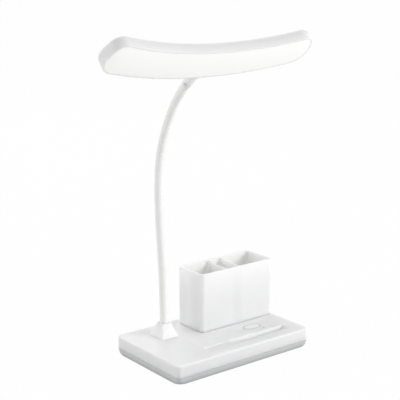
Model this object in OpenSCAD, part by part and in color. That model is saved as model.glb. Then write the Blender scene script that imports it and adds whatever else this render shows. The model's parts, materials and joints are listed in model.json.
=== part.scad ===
// Desk lamp: a weighted base with a pen pot and a phone slot, a flexible arm and a crescent light head.
// Millimetres. +X runs to the right along the front edge, +Y to the back, +Z up.
// The origin is on the desk, under the middle of the base.

/* [Base] */
// Width of the base along its front edge
base_w = 200; // [190:1:240]
// Depth of the base from front to back
base_d = 124; // [118:1:150]
// Height of the tub's side band
tub_h = 8.4; // [6.5:0.1:12]
// Height of the white cover above the tub
cover_h = 14.6; // [14.4:0.1:20]
// Radius of the base's upright corners
base_corner = 5.5; // [4.5:0.5:12]
// Rounding along the cover's top edge
cover_edge = 1.4; // [0.6:0.1:2]
// How far the tub's side draws in towards its underside
tub_draw = 1.2; // [0.6:0.1:3]
// How much rounder the tub's upright corners are at its underside
tub_swell = 5; // [0:0.5:8]
// Side wall of the cover and of the tub
base_wall = 2.2; // [1.8:0.1:2.8]
// Thickness of the cover's roof
cover_roof = 2.5; // [2:0.1:3]
// Thickness of the tub's floor
tub_floor = 2.5; // [2:0.1:3.2]
// Height of the tub's tongue inside the cover
tongue_h = 2; // [1:0.1:2.5]

/* [Non-slip ring] */
// Width of the ring across the base
ring_w = 160; // [120:1:165]
// Depth of the ring from front to back
ring_d = 84; // [60:1:88]
// Width of the ring's band
ring_band = 12; // [8:0.5:20]
// How far the ring stands proud of the tub
ring_proud = 0.6; // [0.5:0.1:2]
// How deep the ring is let into the tub
ring_sunk = 0.5; // [0.3:0.1:1]

/* [Phone slot] */
// Length of the deep part of the slot
slot_len = 84.5; // [60:0.5:100]
// Length of the shallow part to its left
slot_run = 40; // [20:1:45]
// Length of the slope at the slot's right end
slot_ramp = 4; // [3:0.5:24]
// Width of the slot from front to back
slot_w = 12.5; // [10:0.5:14]
// Depth of the deep part
slot_deep = 5; // [4.5:0.1:6]
// Depth of the shallow part
slot_shallow = 1; // [0.5:0.1:1.5]
// Distance from the base's right edge to the slot's end
slot_from_right = 17.5; // [10:0.5:30]
// Distance from the base's front edge to the slot's middle
slot_from_front = 21; // [17:0.5:24]
// Wall round the slot under the roof
slot_wall = 1.6; // [1.2:0.1:2]

/* [Arm foot] */
// Distance from the base's left edge to the arm
arm_from_left = 45.5; // [38:0.5:50]
// Distance from the base's back edge to the arm
arm_from_back = 34.5; // [26:0.5:40]
// Width of the foot where it meets the roof
foot_w = 24; // [20:0.5:30]
// Depth of the foot where it meets the roof
foot_d = 27; // [22:0.5:32]
// Side of the foot's square top
foot_top = 12.6; // [12.2:0.1:16]
// Height of the foot above the roof
foot_h = 16.7; // [14:0.1:24]

/* [Pen pot] */
// Width of the pot at its rim
pot_w = 113; // [90:0.2:114]
// Depth of the pot at its rim
pot_d = 48.8; // [36:0.2:50]
// Height of the pot above the base
pot_h = 74; // [50:0.2:100]
// Radius of the pot's upright corners
pot_corner = 5; // [4:0.5:9]
// Wall of the pot
pot_wall = 2.2; // [1.6:0.1:3]
// Floor of the pot
pot_floor = 2.5; // [1.6:0.1:4]
// How much narrower the pot is at its foot, on each side
pot_draft = 0.2; // [0:0.1:1.2]
// Width of the middle compartment
pot_middle = 18; // [16:0.5:34]
// Thickness of a divider
divider_t = 1.8; // [1.2:0.1:3]
// How far the dividers stop below the rim
divider_drop = 3; // [1:0.1:8]
// Distance from the base's right edge to the pot
pot_from_right = 2.2; // [2:0.1:8]
// Distance from the base's back edge to the pot
pot_from_back = 9.8; // [8:0.1:14]
// Height of the raised seat that the pot drops over
seat_h = 2; // [1:0.1:3]

/* [Arm] */
// Length of one link of the arm along its bend
link_len = 43; // [36:0.5:50]
// How far link 1, the lowest, bends forward at rest, in degrees
turn_1 = -3; // [-6:0.5:12]
// How far link 2 bends forward at rest, in degrees
turn_2 = -2.5; // [-6:0.5:12]
// How far link 3 bends forward at rest, in degrees
turn_3 = 2; // [-6:0.5:14]
// How far link 4 bends forward at rest, in degrees
turn_4 = 7; // [-6:0.5:16]
// How far link 5 bends forward at rest, in degrees
turn_5 = 16.5; // [0:0.5:22]
// How far link 6 bends forward at rest, in degrees
turn_6 = 12; // [0:0.5:22]
// How far link 7, the highest, bends forward at rest, in degrees
turn_7 = 16; // [0:0.5:22]
// Height of the lowest pivot above the foot
pivot_rise = 7.3; // [6:0.1:10]
// Outer radius of the sleeve
sleeve_r = 5.05; // [4.75:0.05:5.1]
// Radius of the metal core
core_r = 4.05; // [3.9:0.05:4.1]
// Radius of the ball at the foot of each core link
ball_r = 3; // [2.8:0.1:3.1]
// Gap between a ball and its cup
cup_gap = 0.3; // [0.25:0.05:0.4]
// Gap between one sleeve and the next, which lets the arm bend
ring_gap = 1.8; // [1.8:0.1:2.4]
// Radius of the lead through the arm
lead_r = 1.4; // [0.8:0.1:1.6]

/* [Light head] */
// Length of the head along its back edge
head_len = 287; // [220:1:320]
// Depth of the head from its back edge to its front edge
head_depth = 44.2; // [38:0.2:60]
// Radius of the head's curved back edge
head_bend = 433; // [350:1:900]
// Thickness of the head
head_t = 13.6; // [12.6:0.1:18]
// Corner radius at the front of each end
corner_front = 13.4; // [8:0.2:18]
// Corner radius at the back of each end
corner_back = 22.2; // [10:0.2:24]
// Side wall of the housing
head_wall = 1.8; // [1.4:0.1:2.2]
// Back wall of the housing
head_back = 2; // [1.8:0.1:2.4]
// Rounding along the housing's back edge
head_edge = 1.6; // [0.6:0.1:1.6]
// Turn of the head about the end of the arm, in degrees
head_roll = -1.4; // [-10:0.1:10]
// Length of the neck between the arm and the head
neck_len = 18.5; // [16:0.5:26]
// Width of the neck where it meets the head
neck_w = 17; // [16.5:0.5:22]
// Thickness of the neck where it meets the head
neck_t = 11.4; // [11:0.1:12]
// Radius of the neck's mouth
neck_mouth = 5.7; // [5.6:0.05:6.2]
// Thickness of the diffuser's face
diffuser_t = 1.8; // [1.2:0.1:2.4]
// Thickness of the diffuser's skirt
skirt_t = 1.4; // [1:0.1:2]
// Thickness of the light strip board
strip_t = 1.2; // [0.8:0.1:1.6]
// Gap behind the light strip board
strip_stand = 2.6; // [1.5:0.1:3]
// Spacing of the light chips along the board
chip_pitch = 11; // [8:0.5:20]
// Side of a light chip
chip_w = 3.2; // [2:0.1:4]
// Height of a light chip
chip_h = 0.8; // [0.5:0.1:1.2]

/* [Inside the base] */
// Width of the steel weight plate
plate_w = 140; // [100:1:146]
// Depth of the steel weight plate
plate_d = 74; // [56:1:78]
// Thickness of the steel weight plate
plate_t = 4; // [2:0.1:4.4]
// Width of the battery cell
cell_w = 60; // [40:1:64]
// Depth of the battery cell
cell_d = 34; // [25:1:36]
// Thickness of the battery cell
cell_t = 7; // [4:0.1:8]
// Width of the control board
board_w = 50; // [46:1:56]
// Depth of the control board
board_d = 26; // [24:0.5:28]
// Thickness of the circuit boards
board_t = 1.6; // [1:0.1:2]
// Distance from the roof down to the control board
board_drop = 5.9; // [4:0.1:6.5]
// Length of the oval touch mark
mark_w = 28; // [20:0.5:30]
// Depth of the oval touch mark
mark_d = 14.5; // [10:0.5:15]
// Distance from the base's right edge to the middle of the touch mark
mark_from_right = 51.5; // [46:0.5:60]
// Distance from the base's front edge to the middle of the touch mark
mark_from_front = 46.5; // [44:0.5:50]
// Distance from the base's left edge to the charging socket
charge_from_left = 80; // [60:1:90]

/* [Hidden] */

$fn = 48;
cut = 1;              // how far a cutting shape runs past what it cuts
fit = 0.1;            // gap between pieces that are pushed together
loose = 0.3;          // gap round a piece that lifts out
corner_steps = 8;     // straight steps in a modelled corner

// Heights in the base
tub_top = ring_proud + tub_h;
base_top = tub_top + cover_h;
floor_top = ring_proud + tub_floor;
roof_under = base_top - cover_roof;
plate_top = floor_top + plate_t;
board_top = roof_under - board_drop;
board_under = board_top - board_t;
tongue_wall = 1.1;
tub_inset = base_wall + fit + tongue_wall;

// Places on the base
arm_x = -base_w / 2 + arm_from_left;
arm_y = base_d / 2 - arm_from_back;
pot_x = base_w / 2 - pot_from_right - pot_w / 2;
pot_y = base_d / 2 - pot_from_back - pot_d / 2;
slot_right = base_w / 2 - slot_from_right;
slot_left = slot_right - slot_len;
slot_y = -base_d / 2 + slot_from_front;
mark_x = base_w / 2 - mark_from_right;
mark_y = -base_d / 2 + mark_from_front;
mark_t = 0.2;
touch_plate_t = 0.4;
light_in = 4.8;       // how far the light pipe is in from the mark's right end
light_ahead = 4.1;    // how far it is in front of the mark
board_x = mark_x;
board_y = slot_y + slot_w / 2 + slot_wall + 2 + board_d / 2;
light_x = mark_x + mark_w / 2 - light_in;
light_y = mark_y - mark_d / 2 - light_ahead;
light_r = 1;
lamp_h = 0.8;         // height of the small lamp under the light pipe
cell_x = plate_w / 2 - 2 - cell_w / 2;
cell_y = plate_d / 2 - 1 - cell_d / 2;

// Screws, each driven from below or from inside
screw_r = 1.4;
screw_head_r = 3;
screw_head_h = 2;
small_screw_r = 0.9;
small_head_r = 1.9;
small_head_h = 1.2;
screw_in = 12;
pillar_r = 5;
boss_r = 4;
small_boss_r = 2.4;
pillar_in = 9.8;      // how far inside the cover's walls each base screw stands
screw_x = base_w / 2 - base_wall - pillar_in;
screw_y = base_d / 2 - base_wall - pillar_in;
head_seat = floor_top + 1;
board_boss_x = board_w / 2 - 4;
board_boss_y = board_d / 2 - 5;

// Where the leads meet the boards: in from the left edge, and ahead of the back edge
arm_lead_in = 8;
arm_lead_ahead = board_d / 2 - 4;
charge_lead_in = 4;
charge_lead_ahead = board_d / 2 + 2;
cell_lead_in = 4.5;
cell_lead_ahead = 4;
socket_lead_in = 3;   // from the charging board's front edge

// Charging socket at the back edge
charge_x = -base_w / 2 + charge_from_left;
socket_w = 9;
socket_d = 7.4;
socket_h = 3.2;
socket_sunk = 0.8;
charge_w = 20;
charge_d = 14;
charge_under = tub_top + tongue_h + 0.2;
charge_top = charge_under + board_t;
charge_back = base_d / 2 - base_wall - fit;
charge_boss_x = 7;

// Arm
foot_z = base_top + foot_h;
foot_sweep = 1.1;     // the higher, the closer to the roof the foot spreads
foot_edge = 1;
pivot_z = foot_z + pivot_rise;
cup_r = ball_r + cup_gap;
lead_gap = 0.1;
collar_h = 4;
sleeve_sunk = 2.7;
collar_top = foot_z - sleeve_sunk;
nut_h = 4;
nut_across = 13;
ferrule_end = roof_under - nut_h - 3;
rest_turn = [turn_1, turn_2, turn_3, turn_4, turn_5, turn_6, turn_7];
links = len(rest_turn);

// Light head, in its own frame: x along it, y from its back edge to its front edge, z to the lit side
back_z = -head_t / 2;
face_z = head_t / 2;
inner_z = back_z + head_back;
strip_z = inner_z + strip_stand;
chip_z = strip_z + strip_t;
skirt_inset = head_wall + fit;
strip_inset = head_wall + 0.2;
notch_w = 26;
notch_d = 7;
strip_screw_at = [-115, -45, 45, 115] * head_len / 287;
neck_grip = 2;
grip_gap = 0.15;
core_in_neck = 12;
neck_screw_x = 5.2;
neck_screw_in = 5;
neck_screw_r = 1.1;
set_screw_at = 2.5;   // past the arm's end
set_screw_turn = -60; // from the lit side towards the left
set_screw_sunk = 0.5;
clamp_gap = 0.15;
clamp_t = 1.5;
clamp_w = 20;
clamp_h = 7;
branch_r = 0.9;       // lead where it leaves the arm

cover_colour = [0.93, 0.93, 0.93];
silver_colour = [0.72, 0.73, 0.74];
dark_colour = [0.2, 0.2, 0.21];
steel_colour = [0.62, 0.63, 0.65];
board_colour = [0.1, 0.35, 0.2];
brass_colour = [0.78, 0.62, 0.3];
lead_colour = [0.85, 0.85, 0.82];
light_colour = [0.99, 0.99, 0.97];

// ---- Outlines and solids that repeat ----

function arc(cx, cy, r, from, to, steps = corner_steps) =
    [for (i = [0:steps]) let (a = from + (to - from) * i / steps) [cx + r * cos(a), cy + r * sin(a)]];

function rounded(w, d, r) = concat(
    arc(w / 2 - r, r - d / 2, r, -90, 0),
    arc(w / 2 - r, d / 2 - r, r, 0, 90),
    arc(r - w / 2, d / 2 - r, r, 90, 180),
    arc(r - w / 2, r - d / 2, r, 180, 270)
);

function oval(w, d) = [for (a = [0:7.5:359]) [w / 2 * cos(a), d / 2 * sin(a)]];

function raised(outline, z) = [for (p = outline) [p[0], p[1], z]];

// Closed solid through rings of points, lowest ring first
module loft(rings) {
    count = len(rings[0]);
    last = len(rings) - 1;
    sides = [
        for (k = [0:last - 1], i = [0:count - 1])
            let (j = (i + 1) % count, low = k * count, high = low + count)
            each [[low + i, high + i, high + j], [low + i, high + j, low + j]]
    ];
    polyhedron(
        points = [for (ring = rings) each ring],
        faces = concat(
            [[for (i = [0:count - 1]) i]],
            [[for (i = [count - 1:-1:0]) last * count + i]],
            sides
        )
    );
}

module prism(outline, from, to) {
    translate([0, 0, from])
        linear_extrude(to - from)
            polygon(outline);
}

module post(x, y, r, from, to) {
    translate([x, y, from])
        cylinder(r = r, h = to - from);
}

module box(x, y, w, d, from, to) {
    translate([x - w / 2, y - d / 2, from])
        cube([w, d, to - from]);
}

// Round wire along straight runs, with a slightly larger ball at each turn
module wire(points, r) {
    turn_r = r * 1.06;
    for (i = [0:len(points) - 2]) {
        run = points[i + 1] - points[i];
        translate(points[i])
            rotate([0, acos(run[2] / norm(run)), atan2(run[1], run[0])])
                cylinder(r = r, h = norm(run));
        if (i > 0)
            translate(points[i])
                sphere(r = turn_r);
    }
}

module at_base_corners() {
    for (sx = [-1, 1], sy = [-1, 1])
        translate([sx * screw_x, sy * screw_y, 0])
            children();
}

// ---- Base ----

function base_outline(inset) =
    rounded(base_w - 2 * inset, base_d - 2 * inset, max(base_corner - inset, 1));

// share is 0 at the top of the tub's side and 1 at its underside
function tub_outline(share) =
    rounded(base_w - 2 * tub_draw * share, base_d - 2 * tub_draw * share, base_corner + tub_swell * share);

// The foot's outline at height z, a share of the way from its square top out to the roof
function foot_ring(share, z) = raised(
    rounded(foot_top + (foot_w - foot_top) * share, foot_top + (foot_d - foot_top) * share, foot_edge),
    z
);

module foot_flare() {
    loft(concat(
        [foot_ring(1, base_top - cut)],
        [for (t = [0:0.1:1]) foot_ring(pow(1 - t, foot_sweep), base_top + foot_h * t)]
    ));
}

module base_cover() {
    slot_bottom = base_top - slot_deep;
    trough = slot_wall * 2;
    color(cover_colour)
        difference() {
            union() {
                difference() {
                    loft(concat(
                        [raised(base_outline(0), tub_top)],
                        [
                            for (a = [0:22.5:90])
                                raised(
                                    base_outline(cover_edge * (1 - cos(a))),
                                    base_top - cover_edge * (1 - sin(a))
                                )
                        ]
                    ));
                    prism(base_outline(base_wall), tub_top - cut, roof_under);
                }
                box(slot_right - slot_len / 2, slot_y, slot_len + trough, slot_w + trough,
                    slot_bottom - slot_wall, base_top - cover_roof / 2);
                at_base_corners()
                    post(0, 0, boss_r, tub_top, base_top - cover_roof / 2);
                for (s = [-1, 1])
                    post(board_x + s * board_boss_x, board_y + s * board_boss_y, small_boss_r,
                        board_top, base_top - cover_roof / 2);
                translate([arm_x, arm_y, 0])
                    foot_flare();
                translate([pot_x, pot_y, 0])
                    prism(seat_outline(loose), base_top - cover_roof / 2, base_top + seat_h);
            }
            // phone slot: a slope at its right end, the deep part, then the shallow part
            translate([0, slot_y + slot_w / 2, 0])
                rotate([90, 0, 0])
                    linear_extrude(slot_w)
                        polygon([
                            [slot_left, slot_bottom],
                            [slot_right - slot_ramp, slot_bottom],
                            [slot_right + slot_ramp * cut / slot_deep, base_top + cut],
                            [slot_left, base_top + cut]
                        ]);
            box(slot_left - slot_run / 2 + cut / 2, slot_y, slot_run + cut, slot_w,
                base_top - slot_shallow, base_top + cut);
            at_base_corners()
                post(0, 0, screw_r + fit / 2, tub_top - cut, head_seat + screw_in + fit);
            for (s = [-1, 1])
                post(board_x + s * board_boss_x, board_y + s * board_boss_y, small_screw_r + fit / 2,
                    board_top - cut, board_top + board_drop - 1);
            // arm ferrule, its collar and the sleeve's end
            post(arm_x, arm_y, core_r + fit, tub_top, foot_z + cut);
            post(arm_x, arm_y, sleeve_r + fit, collar_top - collar_h, foot_z + cut);
            // touch mark and light pipe
            translate([mark_x, mark_y, 0])
                prism(oval(mark_w + fit, mark_d + fit), base_top - mark_t, base_top + cut);
            post(light_x, light_y, light_r + fit / 2, roof_under - cut, base_top + cut);
            // charging socket
            box(charge_x, base_d / 2 - base_wall / 2, socket_w + 2 * fit, base_wall + 2 * cut,
                charge_top - fit, charge_top + socket_h + fit);
        }
}

module base_tub() {
    // share of the height, then share of the draw
    belly = [[0, 1], [0.14, 0.6], [0.34, 0.3], [0.6, 0.1], [1, 0]];
    stop = 3;
    stop_len = 12;
    color(silver_colour)
        difference() {
            union() {
                difference() {
                    loft([for (b = belly) raised(tub_outline(b[1]), ring_proud + tub_h * b[0])]);
                    prism(rounded(base_w - 2 * tub_inset, base_d - 2 * tub_inset, base_corner),
                        floor_top, tub_top + cut);
                }
                difference() {
                    prism(base_outline(base_wall + fit), tub_top - 1, tub_top + tongue_h);
                    prism(base_outline(tub_inset), tub_top - 1 - cut, tub_top + tongue_h + cut);
                }
                at_base_corners()
                    post(0, 0, pillar_r, ring_proud + tub_floor / 2, tub_top);
                for (s = [-1, 1])
                    post(charge_x + s * charge_boss_x, charge_back - charge_d / 2 - 2, small_boss_r,
                        ring_proud + tub_floor / 2, charge_under);
                // stops that hold the weight plate in place
                for (s = [-1, 1]) {
                    box(s * (plate_w / 2 + fit + stop / 2), 0, stop, stop_len,
                        ring_proud + tub_floor / 2, plate_top);
                    box(-plate_w / 4, s * (plate_d / 2 + fit + stop / 2), stop_len, stop,
                        ring_proud + tub_floor / 2, plate_top);
                }
            }
            prism(rounded(ring_w + fit, ring_d + fit, base_corner), ring_proud - cut, ring_proud + ring_sunk);
            at_base_corners() {
                post(0, 0, screw_r + 2 * fit, ring_proud - cut, tub_top + cut);
                post(0, 0, screw_head_r + 4 * fit, ring_proud - cut, head_seat);
            }
            for (s = [-1, 1])
                post(charge_x + s * charge_boss_x, charge_back - charge_d / 2 - 2, small_screw_r + fit / 2,
                    floor_top + 1, charge_under + cut);
        }
}

module non_slip_ring() {
    color(dark_colour)
        difference() {
            prism(rounded(ring_w, ring_d, base_corner), 0, ring_proud + ring_sunk);
            prism(rounded(ring_w - 2 * ring_band, ring_d - 2 * ring_band, base_corner / 2),
                -cut, ring_proud + ring_sunk + cut);
        }
}

module base_screws() {
    color(steel_colour)
        at_base_corners() {
            post(0, 0, screw_head_r, head_seat - screw_head_h, head_seat);
            post(0, 0, screw_r, head_seat - screw_head_h / 2, head_seat + screw_in);
        }
}

module weight_plate() {
    color(steel_colour)
        box(0, 0, plate_w, plate_d, floor_top, plate_top);
}

module battery_cell() {
    edge = 1.5;
    color([0.35, 0.42, 0.5])
        translate([cell_x, cell_y, 0])
            prism(rounded(cell_w, cell_d, edge), plate_top, plate_top + cell_t);
}

module control_board() {
    // how far right and back of the board's middle, width, depth and height
    chips = [[-8, 4, 6, 6, 1.2], [14, 2, 9, 5, 2.4]];
    // how far right and back of the board's middle, radius and height
    capacitor = [-16, -4, 2.5, 3.5];
    lamp_w = 2;
    lamp_d = 1.6;
    root = board_top - board_t / 2;
    color(board_colour)
        difference() {
            union() {
                box(board_x, board_y, board_w, board_d, board_under, board_top);
                for (c = chips)
                    box(board_x + c[0], board_y + c[1], c[2], c[3], root, board_top + c[4]);
                post(board_x + capacitor[0], board_y + capacitor[1], capacitor[2],
                    root, board_top + capacitor[3]);
                box(light_x, light_y, lamp_w, lamp_d, root, board_top + lamp_h);
            }
            for (s = [-1, 1])
                post(board_x + s * board_boss_x, board_y + s * board_boss_y, small_screw_r + 2 * fit,
                    board_under - cut, board_top + cut);
        }
}

module board_screws() {
    color(steel_colour)
        for (s = [-1, 1])
            translate([board_x + s * board_boss_x, board_y + s * board_boss_y, 0]) {
                post(0, 0, small_head_r, board_under - small_head_h, board_under);
                post(0, 0, small_screw_r, board_under - small_head_h / 2, board_top + board_drop - 1.5);
            }
}

module touch_plate() {
    color(brass_colour)
        post(mark_x, mark_y, mark_d / 2, roof_under - touch_plate_t, roof_under);
}

module touch_foam() {
    color(dark_colour)
        post(mark_x, mark_y, 2.2, board_top, roof_under - touch_plate_t);
}

module touch_mark() {
    color([0.45, 0.46, 0.48])
        translate([mark_x, mark_y, 0])
            prism(oval(mark_w, mark_d), base_top - mark_t, base_top);
}

module status_light() {
    color(light_colour)
        post(light_x, light_y, light_r, board_top + lamp_h, base_top);
}

module charge_board() {
    color(board_colour)
        difference() {
            box(charge_x, charge_back - charge_d / 2, charge_w, charge_d, charge_under, charge_top);
            for (s = [-1, 1])
                post(charge_x + s * charge_boss_x, charge_back - charge_d / 2 - 2, small_screw_r + 2 * fit,
                    charge_under - cut, charge_top + cut);
        }
}

module charge_socket() {
    mouth = base_d / 2 - socket_sunk;
    shell = 0.4;
    middle = charge_top + socket_h / 2;
    color(steel_colour)
        difference() {
            box(charge_x, mouth - socket_d / 2, socket_w, socket_d, charge_top, charge_top + socket_h);
            box(charge_x, mouth - socket_d / 2 + shell, socket_w - 2 * shell, socket_d,
                charge_top + shell, charge_top + socket_h - shell);
        }
    color(dark_colour)
        box(charge_x, mouth - socket_d / 2 - shell / 2, socket_w / 2, socket_d - 3 * shell,
            middle - shell, middle + shell);
}

module charge_screws() {
    color(steel_colour)
        for (s = [-1, 1])
            translate([charge_x + s * charge_boss_x, charge_back - charge_d / 2 - 2, 0]) {
                post(0, 0, small_head_r, charge_top, charge_top + small_head_h);
                post(0, 0, small_screw_r, charge_under - 4, charge_top + small_head_h / 2);
            }
}

module arm_ferrule() {
    color(steel_colour)
        translate([arm_x, arm_y, 0])
            difference() {
                union() {
                    post(0, 0, core_r, ferrule_end, pivot_z);
                    post(0, 0, sleeve_r, collar_top - collar_h, collar_top);
                }
                translate([0, 0, pivot_z])
                    sphere(r = cup_r);
                post(0, 0, lead_r + lead_gap, ferrule_end - cut, pivot_z);
            }
}

module ferrule_nut() {
    color(brass_colour)
        translate([arm_x, arm_y, roof_under - nut_h])
            difference() {
                cylinder(r = nut_across / 2 / cos(30), h = nut_h, $fn = 6);
                translate([0, 0, -cut])
                    cylinder(r = core_r + fit / 2, h = nut_h + 2 * cut);
            }
}

module arm_sleeve_0() {
    color(cover_colour)
        translate([arm_x, arm_y, 0])
            difference() {
                post(0, 0, sleeve_r, collar_top, pivot_z);
                post(0, 0, core_r + fit / 2, collar_top - cut, pivot_z + cut);
            }
}

module base_leads() {
    low = plate_top + 1.3;
    high = plate_top + 3.5;
    thin = 0.7;
    board_left = board_x - board_w / 2;
    board_back = board_y + board_d / 2;
    // how far inside the board's left edge each lead ends, and where from front to back
    arm_end = [board_left + arm_lead_in, board_back - arm_lead_ahead];
    charge_end = [board_left + charge_lead_in, board_back - charge_lead_ahead];
    cell_end = [board_left + cell_lead_in, board_back - cell_lead_ahead];
    charge_start = charge_back - charge_d + socket_lead_in;
    color(lead_colour) {
        post(arm_x, arm_y, lead_r, high + branch_r, pivot_z - cup_r - lead_gap);
        wire([
            [arm_x, arm_y, high + lead_r],
            [arm_x, arm_y, high],
            [arm_end[0], arm_end[1], high],
            [arm_end[0], arm_end[1], board_under]
        ], branch_r);
        wire([
            [charge_x, charge_start, charge_under],
            [charge_x, charge_start, low],
            [charge_x, charge_end[1], low],
            [charge_end[0], charge_end[1], low],
            [charge_end[0], charge_end[1], board_under]
        ], thin);
        wire([
            [cell_end[0], cell_y - cell_d / 2, high],
            [cell_end[0], cell_end[1], high],
            [cell_end[0], cell_end[1], board_under]
        ], thin);
    }
}

// ---- Pen pot ----

function pot_outline(inset) = rounded(pot_w - 2 * inset, pot_d - 2 * inset, max(pot_corner - inset, 1));
function seat_outline(gap) = pot_outline(pot_draft + pot_wall + gap);

module pen_pot() {
    cup_bottom = base_top + seat_h + loose + pot_floor;
    rim = base_top + pot_h;
    inner_w = pot_w - 2 * (pot_wall + pot_draft);
    inner_d = pot_d - 2 * (pot_wall + pot_draft);
    side_w = (inner_w - pot_middle) / 2 - divider_t;
    side_x = pot_middle / 2 + divider_t + side_w / 2;
    inner_corner = max(pot_corner - pot_wall, 1);
    rim_edge = 0.5;
    color(cover_colour)
        translate([pot_x, pot_y, 0])
            difference() {
                loft([
                    raised(pot_outline(pot_draft), base_top),
                    raised(pot_outline(rim_edge * pot_draft / pot_h), rim - rim_edge),
                    raised(pot_outline(rim_edge * 0.6), rim)
                ]);
                prism(seat_outline(0), base_top - cut, base_top + seat_h + loose);
                // three compartments, joined above the dividers
                prism(rounded(pot_middle, inner_d, inner_corner), cup_bottom, rim + cut);
                for (s = [-1, 1])
                    translate([s * side_x, 0, 0])
                        prism(rounded(side_w, inner_d, inner_corner), cup_bottom, rim + cut);
                prism(rounded(inner_w, inner_d, inner_corner), rim - divider_drop, rim + cut);
            }
}

// ---- Arm ----

function lean(k) = k == 0 ? 0 : lean(k - 1) + rest_turn[k - 1];

// Straight distance between the ends of link k
function chord(k) =
    let (half = abs(rest_turn[k]) / 2)
    half < 0.05 ? link_len : link_len * sin(half) / (half * PI / 180);

function pivot(k) =
    k == 0 ? [arm_x, arm_y, pivot_z]
    : pivot(k - 1) + chord(k - 1) * [
        0,
        -sin(lean(k - 1) + rest_turn[k - 1] / 2),
        cos(lean(k - 1) + rest_turn[k - 1] / 2)
    ];

module at_pivot(k) {
    translate(pivot(k))
        rotate([lean(k), 0, 0])
            children();
}

// Place of the far end of link k, seen from its near end
module at_far_end(k) {
    half = rest_turn[k] / 2;
    translate(chord(k) * [0, -sin(half), cos(half)])
        rotate([rest_turn[k], 0, 0])
            children();
}

// Round rod along link k, from one distance along it to another
module bent_rod(k, from, to, r) {
    turn = abs(rest_turn[k]);
    if (turn < 0.1) {
        post(0, 0, r, from, to);
    } else {
        bend = link_len / (turn * PI / 180);
        mirror([0, rest_turn[k] < 0 ? 1 : 0, 0])
            translate([0, -bend, 0])
                rotate([90, 0, 90])
                    rotate([0, 0, turn * from / link_len])
                        rotate_extrude(angle = turn * (to - from) / link_len, $fn = 240)
                            translate([bend, 0])
                                circle(r = r);
    }
}

// Link k of the metal core: a ball at its near end, a cup at its far end unless that end is in the neck
module arm_core(k) {
    color(steel_colour)
        at_pivot(k)
            difference() {
                union() {
                    sphere(r = ball_r);
                    bent_rod(k, ring_gap, link_len, core_r);
                }
                if (k < links - 1)
                    at_far_end(k)
                        sphere(r = cup_r);
                bent_rod(k, -ball_r - cut, link_len + cut, lead_r + lead_gap);
            }
}

// Straight tube on the core's far end, held in the neck
module neck_tube() {
    color(steel_colour)
        at_pivot(links)
            difference() {
                cylinder(r = core_r, h = core_in_neck);
                post(0, 0, lead_r + lead_gap, -cut, core_in_neck + cut);
            }
}

module arm_sleeve(k) {
    color(cover_colour)
        at_pivot(k)
            difference() {
                bent_rod(k, ring_gap, link_len, sleeve_r);
                bent_rod(k, ring_gap - cut, link_len + cut, core_r + fit / 2);
            }
}

module arm_lead(k) {
    color(lead_colour)
        at_pivot(k)
            bent_rod(k, lead_gap - cup_r / 2, link_len - (k < links - 1 ? cup_r + lead_gap : 0), lead_r);
}

// ---- Light head ----

module in_head() {
    at_pivot(links)
        rotate([0, 0, head_roll])
            translate([0, 0, neck_len])
                rotate([90, 0, 0])
                    children();
}

// A flat outline bent so that its back edge follows the head's curve
function bent(p) =
    let (a = p[0] / head_bend * 180 / PI)
    [(head_bend - p[1]) * sin(a), head_bend - (head_bend - p[1]) * cos(a)];

// An odd number of steps leaves a flat in the middle, where the neck meets the head
function edge_steps(from, to, y, steps = 15) =
    [for (i = [1:steps - 1]) [from + (to - from) * i / steps, y]];

function crescent(inset) =
    let (
        half = head_len / 2 - inset,
        back = max(corner_back - inset, 2),
        front = max(corner_front - inset, 2),
        near = inset,
        far = head_depth - inset,
        flat = concat(
            edge_steps(back - half, half - back, near),
            arc(half - back, near + back, back, -90, 0),
            arc(half - front, far - front, front, 0, 90),
            edge_steps(half - front, front - half, far),
            arc(front - half, far - front, front, 90, 180),
            arc(back - half, near + back, back, 180, 270)
        )
    )
    [for (p = flat) bent(p)];

module on_strip(s, y) {
    turn = s / head_bend * 180 / PI;
    translate(concat(bent([s, y]), 0))
        rotate([0, 0, turn])
            children();
}

module neck_notch() {
    box(0, 0, notch_w, 2 * notch_d, back_z, face_z - diffuser_t);
}

// Up the outside, over the rim and down the inside, as one skin
module head_shell() {
    loft(concat(
        [
            for (a = [0:22.5:90])
                raised(crescent(head_edge * (1 - sin(a))), back_z + head_edge * (1 - cos(a)))
        ],
        [
            raised(crescent(0), face_z),
            raised(crescent(head_wall), face_z),
            raised(crescent(head_wall), inner_z)
        ]
    ));
}

module head_housing() {
    color(cover_colour)
        in_head()
            difference() {
                union() {
                    head_shell();
                    for (s = strip_screw_at)
                        on_strip(s, head_depth / 2)
                            post(0, 0, small_boss_r, back_z + head_back / 2, strip_z);
                }
                for (s = strip_screw_at)
                    on_strip(s, head_depth / 2)
                        post(0, 0, small_screw_r + fit / 2, back_z + 1, strip_z + cut);
                // lead and neck screws through the back edge
                rotate([-90, 0, 0]) {
                    post(0, 0, lead_r + 2 * fit, -cut, head_wall + cut);
                    for (s = [-1, 1])
                        post(s * neck_screw_x, 0, neck_screw_r + 2 * fit, -cut, head_wall + cut);
                }
            }
}

module diffuser() {
    color(light_colour)
        in_head()
            difference() {
                prism(crescent(skirt_inset), chip_z, face_z);
                prism(crescent(skirt_inset + skirt_t), chip_z - cut, face_z - diffuser_t);
                neck_notch();
            }
}

module led_board() {
    color([0.9, 0.9, 0.88])
        in_head()
            difference() {
                prism(crescent(strip_inset), strip_z, chip_z);
                neck_notch();
                for (s = strip_screw_at)
                    on_strip(s, head_depth / 2)
                        post(0, 0, small_screw_r + 2 * fit, strip_z - cut, chip_z + cut);
            }
}

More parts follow.
